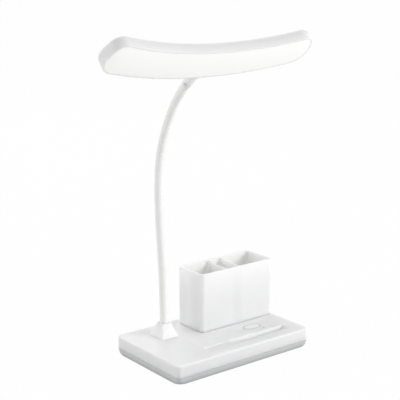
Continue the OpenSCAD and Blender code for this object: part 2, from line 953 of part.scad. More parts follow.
module led_chips() {
    per_side = floor((head_len / 2 - corner_back) / chip_pitch);
    color([0.98, 0.9, 0.55])
        in_head()
            for (row = [0.28, 0.72], i = [-per_side:per_side - 1])
                on_strip((i + 0.5) * chip_pitch, head_depth * row)
                    box(0, 0, chip_w, chip_w, chip_z, chip_z + chip_h);
}

module led_board_screws() {
    color(steel_colour)
        in_head()
            for (s = strip_screw_at)
                on_strip(s, head_depth / 2) {
                    post(0, 0, small_head_r, chip_z, chip_z + small_head_h);
                    post(0, 0, small_screw_r, back_z + 1.2, chip_z + small_head_h / 2);
                }
}

module neck_connector() {
    // share of the way along, then share of the way from the round mouth to the wide end
    sections = [[0, 0], [0.25, 0.04], [0.5, 0.18], [0.75, 0.5], [0.92, 0.85], [1, 1]];
    mouth = 2 * neck_mouth;
    run = neck_len + neck_grip;
    color(cover_colour)
        in_head()
            rotate([-90, 0, 0])
                translate([0, 0, -neck_len])
                    difference() {
                        loft([
                            for (s = sections)
                                let (
                                    w = mouth + (neck_w - mouth) * s[1],
                                    d = mouth + (neck_t - mouth) * s[1],
                                    r = min(w, d) / 2 * (1 - 0.35 * s[1]) - 0.01
                                )
                                raised(rounded(w, d, r), run * s[0] - neck_grip)
                        ]);
                        post(0, 0, sleeve_r + grip_gap, -neck_grip - cut, 0);
                        post(0, 0, core_r + fit / 2, -cut, core_in_neck);
                        post(0, 0, lead_r + 2 * fit, 0, neck_len + cut);
                        for (s = [-1, 1])
                            post(s * neck_screw_x, 0, neck_screw_r + fit / 2,
                                neck_len - neck_screw_in - fit, neck_len + cut);
                        rotate([90, 0, set_screw_turn])
                            post(0, set_screw_at, screw_r + fit / 2, core_r, neck_mouth + 2 * cut);
                    }
}

module neck_set_screw() {
    color(steel_colour)
        in_head()
            rotate([-90, 0, 0])
                translate([0, 0, -neck_len])
                    rotate([90, 0, set_screw_turn])
                        post(0, set_screw_at, screw_r, core_r, neck_mouth - set_screw_sunk);
}

module neck_plate() {
    near = head_wall + clamp_gap;
    color(steel_colour)
        in_head()
            rotate([-90, 0, 0])
                difference() {
                    box(0, 0, clamp_w, clamp_h, near, near + clamp_t);
                    post(0, 0, lead_r + 2 * fit, near - cut, near + clamp_t + cut);
                    for (s = [-1, 1])
                        post(s * neck_screw_x, 0, neck_screw_r + 2 * fit, near - cut, near + clamp_t + cut);
                }
}

module neck_screws() {
    seat = head_wall + clamp_gap + clamp_t;
    color(steel_colour)
        in_head()
            rotate([-90, 0, 0])
                for (s = [-1, 1]) {
                    post(s * neck_screw_x, 0, small_head_r, seat, seat + small_head_h);
                    post(s * neck_screw_x, 0, neck_screw_r, -neck_screw_in, seat + small_head_h / 2);
                }
}

module head_lead() {
    color(lead_colour)
        in_head()
            translate([0, 0, chip_z + branch_r])
                rotate([-90, 0, 0])
                    post(0, 0, branch_r, -neck_len, notch_d + 8);
}

base_cover();
base_tub();
non_slip_ring();
base_screws();
weight_plate();
battery_cell();
control_board();
board_screws();
touch_plate();
touch_foam();
touch_mark();
status_light();
charge_board();
charge_socket();
charge_screws();
arm_ferrule();
ferrule_nut();
base_leads();
arm_sleeve_0();
pen_pot();
arm_core(0);  // arm_core_1
arm_core(1);  // arm_core_2
arm_core(2);  // arm_core_3
arm_core(3);  // arm_core_4
arm_core(4);  // arm_core_5
arm_core(5);  // arm_core_6
arm_core(6);  // arm_core_7
arm_sleeve(0);  // arm_sleeve_1
arm_sleeve(1);  // arm_sleeve_2
arm_sleeve(2);  // arm_sleeve_3
arm_sleeve(3);  // arm_sleeve_4
arm_sleeve(4);  // arm_sleeve_5
arm_sleeve(5);  // arm_sleeve_6
arm_sleeve(6);  // arm_sleeve_7
arm_lead(0);  // arm_lead_1
arm_lead(1);  // arm_lead_2
arm_lead(2);  // arm_lead_3
arm_lead(3);  // arm_lead_4
arm_lead(4);  // arm_lead_5
arm_lead(5);  // arm_lead_6
arm_lead(6);  // arm_lead_7
neck_tube();
neck_connector();
neck_set_screw();
neck_plate();
neck_screws();
head_housing();
led_board();
led_chips();
led_board_screws();
head_lead();
diffuser();
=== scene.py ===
import json
import math

import bmesh
import bpy
from bpy.props import FloatProperty, FloatVectorProperty, PointerProperty
from mathutils import Matrix, Vector


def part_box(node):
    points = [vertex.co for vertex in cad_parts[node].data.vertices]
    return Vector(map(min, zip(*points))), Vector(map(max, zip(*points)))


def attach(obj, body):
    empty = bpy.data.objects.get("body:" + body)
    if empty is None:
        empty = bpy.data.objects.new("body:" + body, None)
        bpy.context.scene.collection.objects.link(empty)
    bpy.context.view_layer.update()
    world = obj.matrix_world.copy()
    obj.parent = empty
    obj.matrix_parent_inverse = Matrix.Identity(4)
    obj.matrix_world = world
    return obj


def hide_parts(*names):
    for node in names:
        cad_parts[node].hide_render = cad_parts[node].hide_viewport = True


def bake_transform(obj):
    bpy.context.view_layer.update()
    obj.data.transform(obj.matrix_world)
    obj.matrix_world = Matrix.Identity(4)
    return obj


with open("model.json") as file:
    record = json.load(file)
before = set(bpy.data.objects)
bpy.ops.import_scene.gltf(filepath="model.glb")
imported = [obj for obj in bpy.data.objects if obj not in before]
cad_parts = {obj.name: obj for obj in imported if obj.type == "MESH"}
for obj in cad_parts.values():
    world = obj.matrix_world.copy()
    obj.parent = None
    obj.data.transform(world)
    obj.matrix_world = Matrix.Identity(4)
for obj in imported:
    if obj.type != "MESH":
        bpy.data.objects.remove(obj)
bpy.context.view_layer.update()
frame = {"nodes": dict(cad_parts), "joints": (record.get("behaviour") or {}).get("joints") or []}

bl_info = {
    "name": "Desk lamp with a pen pot",
    "version": (1, 0, 0),
    "blender": (4, 5, 0),
    "location": "View3D > Sidebar > Desk lamp",
    "description": "Dresses the solids of a desk lamp: cover, tub, pot, arm, head and stage",
    "category": "Object",
}

JOINTS = {joint["name"]: joint for joint in frame["joints"]}
MM = 0.001
WELD = 0.001 * MM  # points closer than this are one
LEVEL = 0.01 * MM  # points closer than this along an axis lie in one plane
GRAIN = 0.03 * MM  # height of the fine grain of a moulded skin
LINKS = 7  # rigid lengths of the arm, each with its pivot
HEAD_TILT = math.radians(48.0)  # the lean of the arm's end, where the neck starts
HEAD_ROLL = math.radians(-1.4)  # the head's turn about the neck


def span(node, axis):
    """How far a node of the frame reaches along one axis."""
    low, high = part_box(node)
    return high[axis] - low[axis]


def middle(node):
    """The middle of a node's box."""
    low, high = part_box(node)
    return (low + high) / 2


# ---- Shader maths ----


class Wire:
    """A shader socket that can stand in an expression as a number does."""

    def __init__(self, graph, socket):
        self.graph = graph
        self.socket = socket

    def _math(self, operation, first, second):
        return self.graph.node("ShaderNodeMath", {"operation": operation}, first, second)

    def __add__(self, other):
        return self._math("ADD", self, other)

    def __radd__(self, other):
        return self._math("ADD", other, self)

    def __sub__(self, other):
        return self._math("SUBTRACT", self, other)

    def __rsub__(self, other):
        return self._math("SUBTRACT", other, self)

    def __mul__(self, other):
        return self._math("MULTIPLY", self, other)

    def __rmul__(self, other):
        return self._math("MULTIPLY", other, self)

    def __truediv__(self, other):
        return self._math("DIVIDE", self, other)

    def __rtruediv__(self, other):
        return self._math("DIVIDE", other, self)

    def __pow__(self, other):
        return self._math("POWER", self, other)

    def __rpow__(self, other):
        return self._math("POWER", other, self)


class Graph:
    """The shader nodes of one material or world."""

    def __init__(self, owner, out="ShaderNodeOutputMaterial"):
        self.owner = owner
        owner.use_nodes = True
        self.tree = owner.node_tree
        self.tree.nodes.clear()
        self.out = self.tree.nodes.new(out)

    def feed(self, socket, value):
        """Sets a socket to a value, or links it."""
        if isinstance(value, Wire):
            self.tree.links.new(value.socket, socket)
        else:
            socket.default_value = value

    def node(self, kind, settings=None, *values, output=0, **named):
        """Adds a node: its settings first, then the values or links of its sockets.

        Sockets come by number or by name; one that is given None stays as it is."""
        made = self.tree.nodes.new(kind)
        for key, value in (settings or {}).items():
            setattr(made, key, value)
        for index, value in enumerate(values):
            if value is not None:
                self.feed(made.inputs[index], value)
        for key, value in named.items():
            self.feed(made.inputs[key.replace("_", " ")], value)
        return Wire(self, made.outputs[output])

    def place(self):
        """Where a point lies in its object's own frame."""
        return self.node("ShaderNodeTexCoord", output="Object")

    def ray(self, kind):
        """1 on rays of one kind."""
        return self.node("ShaderNodeLightPath", output=kind)

    def noise(self, scale, detail=2.0, roughness=0.5):
        """Noise over the object's own frame."""
        return self.node(
            "ShaderNodeTexNoise", None, Vector=self.place(), Scale=scale, Detail=detail, Roughness=roughness
        )

    def smooth_step(self, value, low, high):
        """0 below low, 1 above high."""
        return self.node(
            "ShaderNodeMapRange", {"interpolation_type": "SMOOTHSTEP"}, value, low, high, 0.0, 1.0
        )

    def mix(self, share, first, second):
        """A colour between first and second, which are the node's seventh and eighth sockets."""
        unused = [None] * 5
        return self.node("ShaderNodeMix", {"data_type": "RGBA"}, share, *unused, first, second, output=2)

    def bump(self, height, strength, depth=GRAIN):
        """A normal from a height between 0 and 1, which stands for depth in metres."""
        return self.node("ShaderNodeBump", None, Strength=strength, Distance=depth, Height=height)

    def axes(self):
        """The x, y and z of a point in its object's own frame."""
        place = self.place()
        return [self.node("ShaderNodeSeparateXYZ", None, place, output=axis) for axis in range(3)]

    def end(self, shader):
        """Links the last shader to the output."""
        self.feed(self.out.inputs["Surface"], shader)
        return self.owner

    def finish(self, base, roughness, normal, metallic=0.0, **plain):
        """Ends in the Principled shader, whose plain settings are the same all over."""
        return self.end(self.node(
            "ShaderNodeBsdfPrincipled", None, Base_Color=base, Roughness=roughness, Normal=normal,
            Metallic=metallic, **plain
        ))


def material_graph(name):
    """The empty graph of a new material."""
    return Graph(bpy.data.materials.new(name))


def opaque(colour):
    """A colour of three channels with full alpha."""
    return (*colour, 1.0)


def shaded(colour, share):
    """A colour made darker or lighter."""
    return opaque([channel * share for channel in colour])


# ---- Finishes ----
#
# Noise scales are in cells per metre: 1000 is one to a millimetre.


def moulded_plastic(name, colour, roughness=0.45, texture=0.10, depth=6 * MM, share=0.6):
    """Moulded plastic with a very fine spark texture and slow flow marks.

    texture is the strength of the grain, depth how far light gets into the plastic, in metres, and share how
    much of the light does. Blue goes a little less deep."""
    g = material_graph(name)
    flow = g.noise(14.0, 3.0)
    spark = g.noise(2600.0, 2.0, 0.6)
    speckle = g.noise(900.0, 1.0)
    base = g.mix(flow, shaded(colour, 0.985), opaque(colour))
    height = spark * 0.7 + speckle * 0.3
    return g.finish(
        base,
        roughness + (speckle - 0.5) * 0.08,
        g.bump(height, texture),
        Specular_IOR_Level=0.4,
        Subsurface_Weight=share,
        Subsurface_Radius=(depth, depth, depth * 0.92),
        Subsurface_Scale=1.0,
    )


def silver_plastic(name, colour):
    """Silver-grey moulded plastic with fine metal flake under a satin skin, with painted shade that darkens
    it towards its lower edge.
    """
    g = material_graph(name)
    _, _, z = g.axes()
    flake = g.node("ShaderNodeTexVoronoi", {"feature": "F1"}, Vector=g.place(), Scale=2800.0)
    cloud = g.noise(20.0, 3.0)
    glint = 1 - g.smooth_step(flake, 0.2, 0.5)
    flaked = g.mix(glint * 0.35 + cloud * 0.2, shaded(colour, 0.96), shaded(colour, 1.05))
    # painted shade: the base colour darkens towards the tub's lower edge, where its underside turns away from
    # the light
    painted_shade_bottom, painted_shade_top = 0.5 * MM, 7 * MM
    base = g.mix(g.smooth_step(z, painted_shade_bottom, painted_shade_top), shaded(colour, 0.78), flaked)
    return g.finish(
        base,
        0.48 - glint * 0.08,
        g.bump(g.noise(1800.0, 2.0), 0.08),
        metallic=0.15,
        Specular_IOR_Level=0.45,
    )


def soft_sleeve(name, colour):
    """Matt silicone skin over the arm: dust-fine grain and faint handling marks."""
    g = material_graph(name)
    grain = g.noise(1900.0, 3.0, 0.6)
    handled = g.noise(45.0, 4.0, 0.55)
    base = g.mix(g.smooth_step(handled, 0.35, 0.75), opaque(colour), shaded(colour, 0.985))
    return g.finish(
        base,
        0.56 + (handled - 0.5) * 0.12,
        g.bump(grain, 0.14, 0.04 * MM),
        Specular_IOR_Level=0.35,
        Sheen_Weight=0.04,
    )


def milky_diffuser(name, colour, painted_glow):
    """Frosted milky plastic that hides the light strip behind it, with a faint painted glow that stands in
    for light falling on it.
    """
    g = material_graph(name)
    frost = g.noise(2200.0, 2.0, 0.6)
    cloud = g.noise(9.0, 2.0)
    base = g.mix(cloud, shaded(colour, 0.99), opaque(colour))
    return g.finish(
        base,
        0.5 + (frost - 0.5) * 0.1,
        g.bump(frost, 0.10),
        # painted light: a faint emission brightens the diffuser's downward face in place of light falling on
        # it
        Emission_Color=opaque(colour),
        Emission_Strength=painted_glow,
        Specular_IOR_Level=0.3,
    )


def brushed_metal(name, colour, roughness=0.32):
    """Metal with fine brush lines one way."""
    g = material_graph(name)
    stretched = g.node("ShaderNodeMapping", None, Vector=g.place(), Scale=(1.0, 14.0, 1.0))
    lines = g.node("ShaderNodeTexNoise", None, Vector=stretched, Scale=600.0, Detail=3.0)
    base = g.mix(lines, shaded(colour, 0.88), opaque(colour))
    return g.finish(base, roughness + (lines - 0.5) * 0.2, g.bump(lines, 0.12), metallic=1.0)


def rubber(name, colour):
    """Matt rubber with fine pores and worn patches."""
    g = material_graph(name)
    pores = g.noise(1500.0, 3.0, 0.65)
    worn = g.noise(60.0, 3.0)
    base = g.mix(g.smooth_step(worn, 0.4, 0.8), opaque(colour), shaded(colour, 1.25))
    return g.finish(
        base,
        0.78 + (pores - 0.5) * 0.15,
        g.bump(pores, 0.3, 0.1 * MM),
        Specular_IOR_Level=0.3,
    )


def circuit_board(name, colour):
    """Solder mask with tracks under it."""
    g = material_graph(name)
    tracks = g.node(
        "ShaderNodeTexBrick", {"offset": 0.37}, Vector=g.place(), Scale=260.0, Mortar_Size=0.035, output=1
    )
    base = g.mix(tracks, opaque(colour), shaded(colour, 1.5))
    return g.finish(base, 0.35 + tracks * 0.1, g.bump(tracks, 0.2, 0.05 * MM))


def printed_mark(name, ink, ground):
    """A pale oval ring printed round a plain ground, as a touch mark."""
    g = material_graph(name)
    x, y, _ = g.axes()
    centre = middle("touch_mark")
    across = (x - centre.x) / (span("touch_mark", 0) / 2)
    along = (y - centre.y) / (span("touch_mark", 1) / 2)
    reach = (across * across + along * along) ** 0.5
    line = g.smooth_step(reach, 0.80, 0.84) * (1.0 - g.smooth_step(reach, 0.95, 0.98))
    grain = g.noise(1400.0, 2.0)
    base = g.mix(line * 0.9 + (grain - 0.5) * 0.08, opaque(ground), opaque(ink))
    return g.finish(base, 0.5 - line * 0.1, g.bump(grain, 0.08))


# ---- Modelling by hand ----


def deselect():
    bpy.ops.object.select_all(action="DESELECT")


def activate(obj):
    """Makes obj the only selected object and the active one."""
    deselect()
    obj.select_set(True)
    bpy.context.view_layer.objects.active = obj


def edit(obj):
    """Enters edit mode on obj."""
    activate(obj)
    bpy.ops.object.mode_set(mode="EDIT")


def leave():
    """Leaves edit mode."""
    bpy.ops.object.mode_set(mode="OBJECT")


def pick(kind, test):
    """In edit mode, selects the vertices, edges or faces that pass test."""
    bpy.ops.mesh.select_all(action="DESELECT")
    bpy.context.tool_settings.mesh_select_mode = (kind == "verts", kind == "edges", kind == "faces")
    data = bpy.context.object.data
    mesh = bmesh.from_edit_mesh(data)
    for item in getattr(mesh, kind):
        if test(item):
            item.select_set(True)
    mesh.select_flush_mode()
    bmesh.update_edit_mesh(data)


def upright(edge):
    """Whether an edge is upright, give or take 8 degrees."""
    low, high = sorted((v.co for v in edge.verts), key=lambda co: co.z)
    length = (high - low).length
    return length > WELD and high.z - low.z > 0.99 * length


def edge_at(z):
    """A test for edges that lie at one height."""
    return lambda edge: all(abs(v.co.z - z) < LEVEL for v in edge.verts)


def stretch(edge, axis):
    """How far an edge reaches along one axis."""
    first, second = edge.verts
    return abs(first.co[axis] - second.co[axis])


def modify(obj, kind, **settings):
    """Adds a modifier and applies it."""
    activate(obj)
    made = obj.modifiers.new(kind.title(), kind)
    for key, value in settings.items():
        setattr(made, key, value)
    bpy.ops.object.modifier_apply(modifier=made.name)


def combine(obj, tool, operation):
    """Joins tool to obj or cuts it away, and removes tool."""
    modify(obj, "BOOLEAN", operation=operation, object=tool, solver="EXACT")
    bpy.data.objects.remove(tool)


def cut_away(obj, tool):
    combine(obj, tool, "DIFFERENCE")


def join_on(obj, tool):
    combine(obj, tool, "UNION")


def settle(obj):
    """Puts the object at the origin, unturned and unscaled, with its place in its mesh."""
    activate(obj)
    bpy.ops.object.transform_apply(location=True, rotation=True, scale=True)


def bevel_edges(obj, test, width, steps):
    """Rounds the edges that pass test."""
    edit(obj)
    pick("edges", test)
    bpy.ops.mesh.bevel(offset=width, offset_type="OFFSET", segments=steps, affect="EDGES")
    leave()


def block(name, low, high, corner=0.0, steps=10):
    """A block from one corner to the other, with its upright edges rounded."""
    low, high = Vector(low), Vector(high)
    deselect()
    bpy.ops.mesh.primitive_cube_add(size=1, location=(low + high) / 2, scale=high - low)
    obj = bpy.context.object
    obj.name = name
    settle(obj)
    if corner > 0:
        bevel_edges(obj, upright, corner, steps)
    return obj


def rod(name, x, y, radius, low, high, sides=48):
    """An upright rod between two heights."""
    deselect()
    bpy.ops.mesh.primitive_cylinder_add(
        vertices=sides, radius=radius, depth=high - low, location=(x, y, (low + high) / 2)
    )
    obj = bpy.context.object
    obj.name = name
    settle(obj)
    return obj


def soften(obj, width, segments=2, angle=35.0):
    """A small bevel on every edge sharper than angle, in degrees."""
    modify(
        obj, "BEVEL", width=width, segments=segments, limit_method="ANGLE", angle_limit=math.radians(angle),
        use_clamp_overlap=True,
    )


def smooth(obj, angle=30.0):
    """Shades smoothly over edges blunter than angle, in degrees."""
    activate(obj)
    bpy.ops.object.shade_smooth_by_angle(angle=math.radians(angle))


def tidy_mesh(obj, angle=30.0):
    """Merges doubles, turns faces outwards and smooths the rounded ones."""
    edit(obj)
    bpy.ops.mesh.select_all(action="SELECT")
    bpy.ops.mesh.remove_doubles(threshold=WELD)
    bpy.ops.mesh.normals_make_consistent(inside=False)
    leave()
    smooth(obj, angle)


def dress(obj, name, material):
    """Names a piece and gives it its one material."""
    obj.name = name
    obj.data.name = name
    obj.data.materials.clear()
    obj.data.materials.append(material)


def paint(material, *nodes):
    """Gives carried-over nodes of the frame a material."""
    for node in nodes:
        data = frame["nodes"][node].data
        data.materials.clear()
        data.materials.append(material)


def smooth_copy(node, name):
    """A merged, smoothed copy of a node whose form is already right."""
    flat = math.radians(0.4)
    obj = frame["nodes"][node].copy()
    obj.data = obj.data.copy()
    for key in list(obj.keys()):
        del obj[key]
    obj.parent = None
    obj.matrix_world = Matrix.Identity(4)
    bpy.context.scene.collection.objects.link(obj)
    obj.name = name
    edit(obj)
    bpy.ops.mesh.select_all(action="SELECT")
    bpy.ops.mesh.remove_doubles(threshold=2 * WELD)
    bpy.ops.mesh.dissolve_limited(angle_limit=flat)
    leave()
    smooth(obj)
    return obj


# ---- Sizes and colours a user would change ----


class LampSizes(bpy.types.PropertyGroup):
    """Sizes that the frame doesn't give by itself."""

    base_corner: FloatProperty(
        name="Base corner", description="Radius of the base's upright corners",
        default=5.5 * MM, unit="LENGTH",
    )
    cover_edge: FloatProperty(
        name="Cover edge", description="Rounding along the cover's top edge", default=1.4 * MM, unit="LENGTH",
    )
    cover_wall: FloatProperty(
        name="Cover wall", description="Side wall of the cover", default=2.2 * MM, unit="LENGTH",
    )
    cover_roof: FloatProperty(
        name="Cover roof", description="Thickness of the cover's roof", default=2.5 * MM, unit="LENGTH",
    )
    slot_width: FloatProperty(
        name="Slot width", description="Width of the phone slot", default=12.5 * MM, unit="LENGTH",
    )
    slot_length: FloatProperty(
        name="Slot length", description="Length of the slot's deep part", default=84.5 * MM, unit="LENGTH",
    )
    slot_run: FloatProperty(
        name="Slot run-in", description="Length of the slot's shallow part", default=40 * MM, unit="LENGTH",
    )
    slot_deep: FloatProperty(
        name="Slot depth", description="Depth of the slot's deep part", default=5 * MM, unit="LENGTH",
    )
    slot_ramp: FloatProperty(
        name="Slot slope", description="Length of the slope at the slot's right end",
        default=4 * MM, unit="LENGTH",
    )
    slot_middle: FloatProperty(
        name="Slot place", description="From the base's front side to the slot's middle",
        default=21 * MM, unit="LENGTH",
    )
    slot_margin: FloatProperty(
        name="Slot margin", description="From the base's right side to the slot's end",
        default=17.5 * MM, unit="LENGTH",
    )
    slot_shallow: FloatProperty(
        name="Run-in depth", description="Depth of the slot's shallow part", default=1 * MM, unit="LENGTH",
    )
    foot_top: FloatProperty(
        name="Foot top", description="Side of the arm foot's square top", default=12.6 * MM, unit="LENGTH",
    )
    foot_width: FloatProperty(
        name="Foot width", description="Width of the arm foot at the roof", default=24 * MM, unit="LENGTH",
    )
    foot_depth: FloatProperty(
        name="Foot depth", description="Depth of the arm foot at the roof", default=27 * MM, unit="LENGTH",
    )
    pot_corner: FloatProperty(
        name="Pot corner", description="Radius of the pot's upright corners", default=5 * MM, unit="LENGTH",
    )
    pot_wall: FloatProperty(
        name="Pot wall", description="Wall of the pot", default=2.2 * MM, unit="LENGTH",
    )
    pot_draft: FloatProperty(
        name="Pot draft", description="How much narrower the pot is at its foot",
        default=0.2 * MM, unit="LENGTH",
    )
    pot_middle: FloatProperty(
        name="Middle compartment", description="Width of the pot's middle compartment",
        default=18 * MM, unit="LENGTH",
    )
    divider_drop: FloatProperty(
        name="Divider drop", description="How far the dividers stop below the rim",
        default=3 * MM, unit="LENGTH",
    )
    divider: FloatProperty(
        name="Divider", description="Thickness of the pot's dividers", default=1.8 * MM, unit="LENGTH",
    )
    sleeve_radius: FloatProperty(
        name="Sleeve radius", description="Outer radius of the arm's sleeve",
        default=5.05 * MM, unit="LENGTH",
    )
    link_length: FloatProperty(
        name="Link length", description="Length of one link along its bend", default=43 * MM, unit="LENGTH",
    )
    blend_reach: FloatProperty(
        name="Bend reach", description="How far from a pivot the sleeve's bend starts",
        default=19 * MM, unit="LENGTH",
    )
    foot_reach: FloatProperty(
        name="Bend reach at the foot", description="The same below the lowest pivot, above the foot",
        default=7 * MM, unit="LENGTH",
    )
    head_length: FloatProperty(
        name="Head length", description="Length of the head along its back edge",
        default=287 * MM, unit="LENGTH",
    )
    head_depth: FloatProperty(
        name="Head depth", description="Depth of the head", default=44.2 * MM, unit="LENGTH",
    )
    head_bend: FloatProperty(
        name="Head bend", description="Radius of the head's back edge", default=433 * MM, unit="LENGTH",
    )
    head_thick: FloatProperty(
        name="Head thickness", description="Thickness of the head", default=13.6 * MM, unit="LENGTH",
    )
    head_front: FloatProperty(
        name="Front corners", description="Radius of the head's front corners",
        default=13.4 * MM, unit="LENGTH",
    )
    head_back: FloatProperty(
        name="Back corners", description="Radius of the head's back corners",
        default=22.2 * MM, unit="LENGTH",
    )
    head_wall: FloatProperty(
        name="Head wall", description="Side wall of the head's housing", default=1.8 * MM, unit="LENGTH",
    )
    set_hole: FloatProperty(
        name="Set screw hole", description="Radius of the set screw's hole", default=1.5 * MM, unit="LENGTH",
    )
    set_ahead: FloatProperty(
        name="Set screw place", description="How far past the arm's end the set screw stands",
        default=2.5 * MM, unit="LENGTH",
    )
    set_turn: FloatProperty(
        name="Set screw turn", description="From the lit side towards the left",
        default=math.radians(-60), subtype="ANGLE",
    )
    neck_length: FloatProperty(
        name="Neck length", description="Length of the neck past the arm's end",
        default=18.5 * MM, unit="LENGTH",
    )


class LampColours(bpy.types.PropertyGroup):
    """Colours of the lamp's finishes."""

    cover: FloatVectorProperty(
        name="Cover", description="White plastic of cover, pot and head",
        default=(0.89, 0.892, 0.888), subtype="COLOR",
    )
    tub: FloatVectorProperty(
        name="Tub", description="Silver-grey plastic of the tub",
        default=(0.58, 0.587, 0.592), subtype="COLOR",
    )
    sleeve: FloatVectorProperty(
        name="Sleeve", description="White silicone of the arm", default=(0.89, 0.888, 0.88), subtype="COLOR",
    )
    diffuser: FloatVectorProperty(
        name="Diffuser", description="Milky plastic of the diffuser",
        default=(0.93, 0.93, 0.92), subtype="COLOR",
    )
    ink: FloatVectorProperty(
        name="Mark", description="Ink of the touch mark", default=(0.50, 0.51, 0.52), subtype="COLOR",
    )
    # painted light: a faint glow that brightens the diffuser in place of light falling on it
    painted_glow: FloatProperty(
        name="Glow", description="Light that the diffuser gives off", default=0.13, min=0.0,
    )


class StageSettings(bpy.types.PropertyGroup):
    """Camera and light."""

    camera_place: FloatVectorProperty(
        name="Camera", description="Where the camera stands",
        default=(-0.73281, -0.91057, 0.47196), subtype="TRANSLATION", unit="LENGTH",
    )
    camera_turn: FloatProperty(
        name="Turn", description="Camera's turn about the upright",
        default=math.radians(-38.02), subtype="ANGLE",
    )
    camera_dip: FloatProperty(
        name="Dip", description="How far the camera looks down", default=math.radians(13.63), subtype="ANGLE",
    )
    lens: FloatProperty(
        name="Lens", description="Focal length in millimetres", default=91.71,
    )
    sky: FloatProperty(
        name="Sky", description="Strength of the even light", default=0.56, min=0.0,
    )
    key: FloatProperty(
        name="Key", description="Power of the soft lamp at the front right", default=26.0, min=0.0,
    )
    rear: FloatProperty(
        name="Rear", description="Power of the soft lamp behind", default=13.5, min=0.0,
    )
    side: FloatProperty(
        name="Side", description="Power of the soft lamp at the left", default=15.0, min=0.0,
    )


def sizes():
    """The sizes a user would change, as they stand."""
    return bpy.context.scene.lamp_sizes


def colours():
    """The colours a user would change, as they stand."""
    return bpy.context.scene.lamp_colours


def white_plastic():
    """The plastic of the cover, the neck and the head, made once."""
    name = "white_plastic"
    return bpy.data.materials.get(name) or moulded_plastic(name, colours().cover)


def pot_plastic():
    """The same plastic in a thin wall, which lets more light through."""
    return moulded_plastic("pot_plastic", colours().cover, depth=7 * MM, share=0.85)


def sleeve_material():
    """The silicone of the arm's sleeve, made once."""
    name = "silicone_sleeve"
    return bpy.data.materials.get(name) or soft_sleeve(name, colours().sleeve)


# ---- Places that pieces share ----


def pivots():
    """The arm's pivots from the lowest up, and the arm's lean at each."""
    names = [
        "arm_lean", "arm_low_bend", "arm_low_bend_2", "arm_low_bend_3",
        "arm_high_bend", "arm_high_bend_2", "arm_high_bend_3",
    ]
    places = [Vector(JOINTS[name]["pos_m"]) for name in names]
    # each link bends evenly, so its chord leans half way between its two ends
    leans = [0.0]
    for low, high in zip(places, places[1:]):
        chord = math.atan2(low.y - high.y, high.z - low.z)
        leans.append(2 * chord - leans[-1])
    return places, leans


def along_arm(lean):
    """The arm's way up at a lean towards the front."""
    return Vector((0, -math.sin(lean), math.cos(lean)))


def head_matrix():
    """From the head's own frame to the lamp's.

    Its x goes along the head, its y from the back edge to the front edge, and its z to the lit side."""
    s = sizes()
    places, leans = pivots()
    half = (HEAD_TILT - leans[-1]) / 2
    chord = s.link_length * math.sin(half) / half
    end = places[-1] + chord * along_arm(leans[-1] + half)
    return (
        Matrix.Translation(end)
        @ Matrix.Rotation(HEAD_TILT, 4, "X")
        @ Matrix.Rotation(HEAD_ROLL, 4, "Z")
        @ Matrix.Translation((0, 0, s.neck_length))
        @ Matrix.Rotation(math.radians(90), 4, "X")
    )


# ---- The pieces ----


def extrude_rings(rings, place):
    """In edit mode, grows the selected face upwards: each ring is a rise and a stretch in x and y."""
    top = Vector(place)
    for rise, across, along in rings:
        bpy.ops.mesh.extrude_region_move(TRANSFORM_OT_translate={"value": (0, 0, rise)})
        top.z += rise
        bpy.ops.transform.resize(value=(across, along, 1), center_override=tuple(top))


def flare(rise, wide, deep):
    """The rings that take an outline through the widths and depths given, one rise apart."""
    return [
        (rise, wider / width, deeper / depth)
        for width, wider, depth, deeper in zip(wide, wide[1:], deep, deep[1:])
    ]


def arm_foot(roof, top):
    """The four-sided foot of the arm, which sweeps out to the roof."""
    s = sizes()
    spot = middle("arm_ferrule")
    sunk = 1 * MM
    place = Vector((spot.x, spot.y, roof - sunk))
    deselect()
    bpy.ops.mesh.primitive_plane_add(size=1, location=place)
    foot = bpy.context.object
    foot.scale = (s.foot_width, s.foot_depth, 1)
    settle(foot)
    count, sweep = 14, 1.1
    shares = [(1 - step / count) ** sweep for step in range(count + 1)]
    wide = [s.foot_top + (s.foot_width - s.foot_top) * share for share in shares]
    deep = [s.foot_top + (s.foot_depth - s.foot_top) * share for share in shares]
    edit(foot)
    pick("faces", lambda face: True)
    extrude_rings([(sunk, 1, 1)] + flare((top - roof) / count, wide, deep), place)
    leave()
    bevel_edges(foot, lambda edge: stretch(edge, 2) > WELD, 1 * MM, 3)
    tidy_mesh(foot)
    return foot


def slot_sides():
    """Where the deep part of the phone slot has its left, right, front and back."""
    s = sizes()
    low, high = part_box("base_cover")
    right = high.x - s.slot_margin
    front = low.y + s.slot_middle - s.slot_width / 2
    return right - s.slot_length, right, front, front + s.slot_width


def add_trough(cover, roof):
    """Adds the trough that hangs under the slot."""
    left, right, front, back = slot_sides()
    deep, wall = sizes().slot_deep, 1.6 * MM
    join_on(cover, block(
        "trough", (left - wall, front - wall, roof - deep - wall), (right + wall, back + wall, roof - MM),
        1 * MM, 4,
    ))


def cut_slot(cover, roof):
    """Cuts the phone slot, with a slope at its right end, and the shallow run-in at its left."""
    s = sizes()
    left, right, front, back = slot_sides()
    over = s.slot_ramp * MM / s.slot_deep  # how far the slope goes on in the cutter's last millimetre
    slot = block("slot", (left, front, roof - s.slot_deep), (right + over, back, roof + MM))
    edit(slot)
    pick("verts", lambda vert: vert.co.x > right and vert.co.z < roof)
    bpy.ops.transform.translate(value=(-s.slot_ramp - over, 0, 0))
    leave()
    cut_away(cover, slot)
    overlap = 2 * MM
    cut_away(cover, block(
        "run_in", (left - s.slot_run, front, roof - s.slot_shallow),
        (left + overlap, back, roof + MM), 0.9 * MM, 4,
    ))


def add_pot_seat(cover, roof):
    """Adds the low block that the pot drops over."""
    s = sizes()
    low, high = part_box("pen_pot")
    play, rise = 0.3 * MM, 2 * MM
    edge = s.pot_wall + s.pot_draft + play
    inset = Vector((edge, edge, 0))
    join_on(cover, block(
        "seat", Vector((low.x, low.y, roof - MM)) + inset, Vector((high.x, high.y, roof + rise)) - inset,
        s.pot_corner - edge, 6,
    ))


